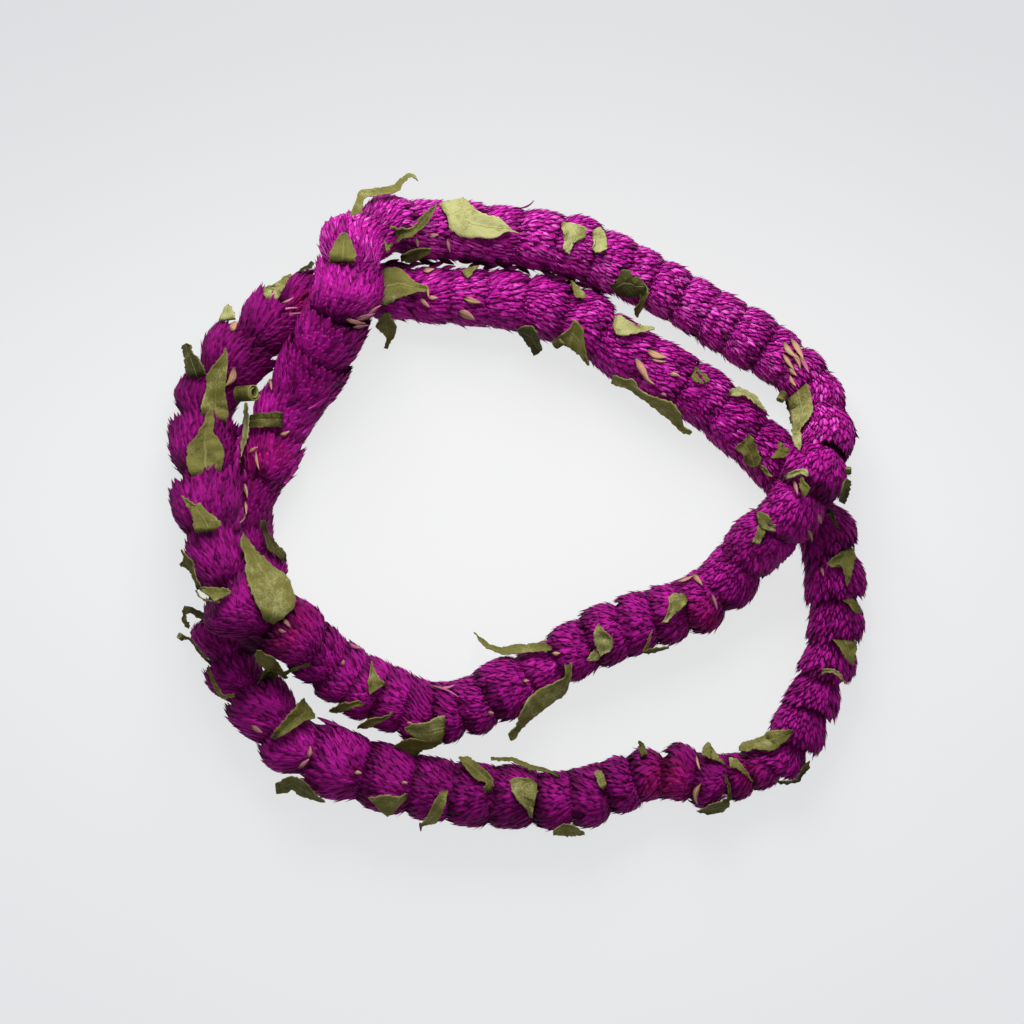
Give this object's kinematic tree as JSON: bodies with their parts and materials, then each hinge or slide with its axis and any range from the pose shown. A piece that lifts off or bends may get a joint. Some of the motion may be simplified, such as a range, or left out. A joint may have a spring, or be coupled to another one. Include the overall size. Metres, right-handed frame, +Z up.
{
  "type": "flower lei",
  "caption": "Lei of globe amaranth flower heads strung head to tail on a thread, wound twice into a flat ring, with small curled leaves between the heads.",
  "frame": {"origin": "middle of the lei's outline on the surface that it lies on", "axes": "+Z up from the surface; +X to the right and +Y to the far side as the picture is seen, with the doubled sharp turn at +X and the leafiest turn at -X"},
  "size_m": [0.1748, 0.1629, 0.0322],
  "materials": {
    "bloom": "papery magenta-purple bracts, matte with a faint silky sheen",
    "leaf": "dry olive-green leaf, matte, with fine pale veins and hairs",
    "thread": "plain twisted cotton thread, matte"
  },
  "bodies": {
    "root": {"blooms_01_05": "bloom", "blooms_06_10": "bloom", "blooms_11_15": "bloom", "blooms_16_20": "bloom", "blooms_21_25": "bloom", "blooms_26_30": "bloom", "blooms_31_35": "bloom", "blooms_36_40": "bloom", "blooms_41_45": "bloom", "blooms_46_50": "bloom", "blooms_51_55": "bloom", "blooms_56_60": "bloom", "blooms_61_65": "bloom", "blooms_66_70": "bloom", "blooms_71_75": "bloom", "blooms_76_80": "bloom", "blooms_81_85": "bloom", "blooms_86_90": "bloom", "leaves_at_head_01": "leaf", "leaves_at_head_02": "leaf", "leaves_at_head_04": "leaf", "leaves_at_head_07": "leaf", "leaves_at_head_09": "leaf", "leaves_at_head_16": "leaf", "leaves_at_head_18": "leaf", "leaves_at_head_20": "leaf", "leaves_at_head_23": "leaf", "leaves_at_head_25": "leaf", "leaves_at_head_27": "leaf", "leaves_at_head_31": "leaf", "leaves_at_head_33": "leaf", "leaves_at_head_34": "leaf", "leaves_at_head_36": "leaf", "leaves_at_head_37": "leaf", "leaves_at_head_38": "leaf", "leaves_at_head_39": "leaf", "leaves_at_head_40": "leaf", "leaves_at_head_41": "leaf", "leaves_at_head_42": "leaf", "leaves_at_head_43": "leaf", "leaves_at_head_44": "leaf", "leaves_at_head_46": "leaf", "leaves_at_head_50": "leaf", "leaves_at_head_51": "leaf", "leaves_at_head_52": "leaf", "leaves_at_head_53": "leaf", "leaves_at_head_55": "leaf", "leaves_at_head_56": "leaf", "leaves_at_head_59": "leaf", "leaves_at_head_60": "leaf", "leaves_at_head_61": "leaf", "leaves_at_head_64": "leaf", "leaves_at_head_67": "leaf", "leaves_at_head_73": "leaf", "leaves_at_head_74": "leaf", "leaves_at_head_75": "leaf", "leaves_at_head_76": "leaf", "leaves_at_head_78": "leaf", "leaves_at_head_79": "leaf", "thread": "thread"}
  },
  "joints": []
}
